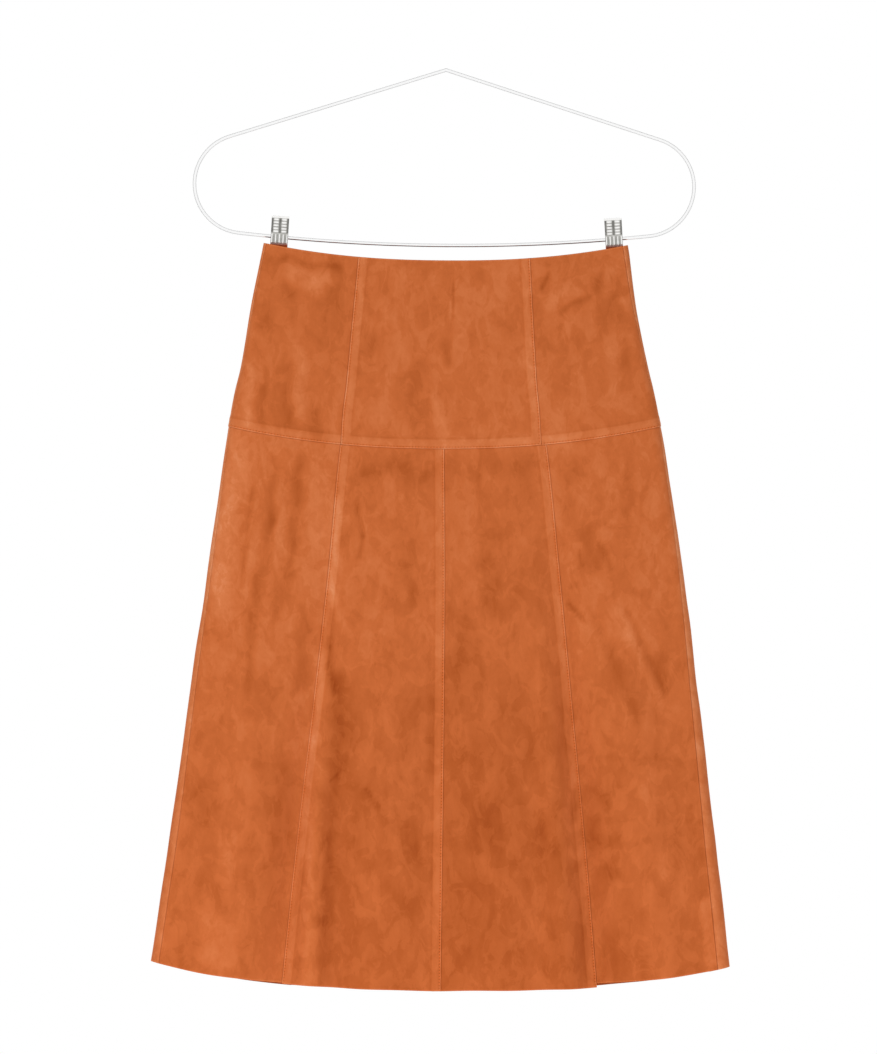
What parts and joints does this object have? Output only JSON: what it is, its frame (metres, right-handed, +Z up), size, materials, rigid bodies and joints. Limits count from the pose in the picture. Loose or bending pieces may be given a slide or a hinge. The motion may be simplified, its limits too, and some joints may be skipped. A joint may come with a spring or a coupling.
{
  "type": "a-line skirt on clip hanger",
  "caption": "Flared midi skirt of suede with a shaped yoke and long seamed panels, hung flat by its waist from a wire hanger with spring clips.",
  "frame": {"origin": "underside of the hanger's wire at its peak, where a peg or hook holds it", "axes": "+Z up, +X to the right as the skirt's front is looked at, +Y from the front to the back"},
  "size_m": [0.5203, 0.0482, 0.8293],
  "materials": {
    "suede": "matte brushed nap",
    "zip_tape": "matte woven",
    "lacquered_zinc": "satin lacquer",
    "chromed_wire": "bright plated",
    "nickelled_steel": "bright nickel plate",
    "spring_steel": "bright plated"
  },
  "bodies": {
    "garment": {"front_yoke_left": "suede", "front_yoke_centre": "suede", "front_yoke_right": "suede", "back_yoke_left": "suede", "back_yoke_centre_left": "suede", "back_yoke_centre_right": "suede", "back_yoke_right": "suede", "front_gore_left": "suede", "front_gore_centre_left": "suede", "front_gore_centre_right": "suede", "front_gore_right": "suede", "back_gore_left": "suede", "back_gore_centre_left": "suede", "back_gore_centre_right": "suede", "back_gore_right": "suede", "hanger_wire": "chromed_wire", "left_clip_front_plate": "nickelled_steel", "left_clip_back_plate": "nickelled_steel", "right_clip_front_plate": "nickelled_steel", "right_clip_back_plate": "nickelled_steel", "left_clip_spring": "spring_steel", "right_clip_spring": "spring_steel", "zip_tape_left": "zip_tape", "zip_tape_right": "zip_tape", "zip_chain": "lacquered_zinc", "zip_slider": "lacquered_zinc"},
    "zip_pull": {"zip_pull": "lacquered_zinc"}
  },
  "joints": [
    {"name": "zip_pull_hinge", "type": "hinge", "parent": "garment", "child": "zip_pull", "pos_m": [0, 0.00345, -0.182], "axis": [1, 0, 0], "range_deg": [0, 150]}
  ]
}
